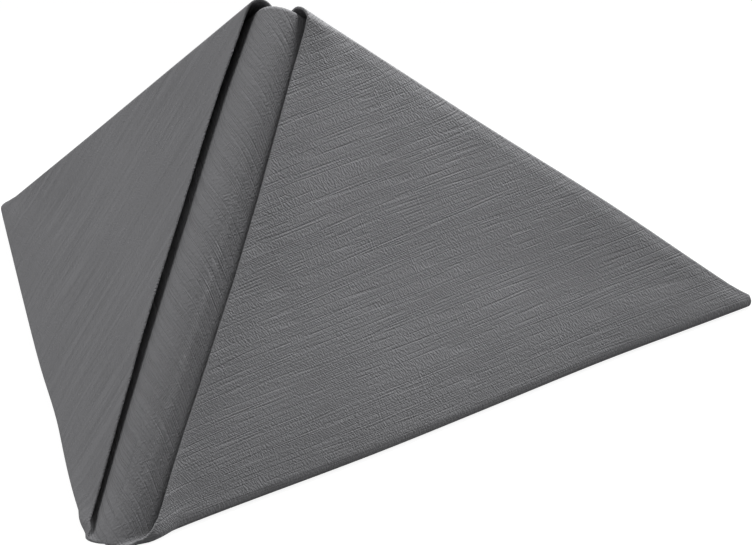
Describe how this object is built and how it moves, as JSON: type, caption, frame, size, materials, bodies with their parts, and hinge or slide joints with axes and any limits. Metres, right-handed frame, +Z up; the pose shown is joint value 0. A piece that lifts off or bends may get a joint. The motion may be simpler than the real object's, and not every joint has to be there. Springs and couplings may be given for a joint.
{
  "type": "paper napkin",
  "caption": "Square paper napkin with a linen emboss, folded into a free-standing pyramid with a rounded sloping ridge and an open back.",
  "frame": {"origin": "on the table, under the middle of the napkin's footprint", "axes": "+Z up from the table, +X to the napkin's left and right alike, -Y to the low front tip, +Y to the open back"},
  "size_m": [0.19, 0.1776, 0.0863],
  "materials": {
    "paper": "matt, linen emboss"
  },
  "bodies": {
    "root": {"napkin": "paper"}
  },
  "joints": []
}
